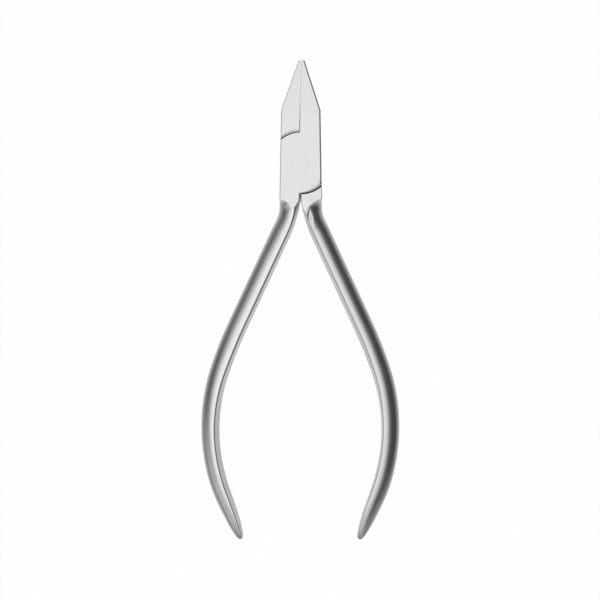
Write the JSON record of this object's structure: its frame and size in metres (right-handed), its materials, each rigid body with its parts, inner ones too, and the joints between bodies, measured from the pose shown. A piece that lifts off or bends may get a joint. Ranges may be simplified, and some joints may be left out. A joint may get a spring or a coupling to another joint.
{
  "type": "orthodontic pliers",
  "caption": "Slim steel dental pliers with tapered flat jaws, a through-slot joint with a flush rivet, and long bowed handles.",
  "frame": {"origin": "the pivot axis where it meets the flat back of the head, which is the plane the pliers lie on", "axes": "+Y towards the jaw tips, +Z out of the front face along the pivot, +X to the right seen from the front"},
  "size_m": [0.0536, 0.1297, 0.008],
  "materials": {
    "satin_steel": "satin, finely brushed stainless steel",
    "ground_steel": "ground flush stainless steel"
  },
  "bodies": {
    "slotted_side": {"box_half": "satin_steel", "pivot_rivet": "ground_steel"},
    "tongued_side": {"tongue_half": "satin_steel"}
  },
  "joints": [
    {"name": "pivot", "type": "hinge", "parent": "slotted_side", "child": "tongued_side", "pos_m": [0, 0, 0.004], "axis": [0, 0, 1], "range_deg": [0, 30]}
  ]
}
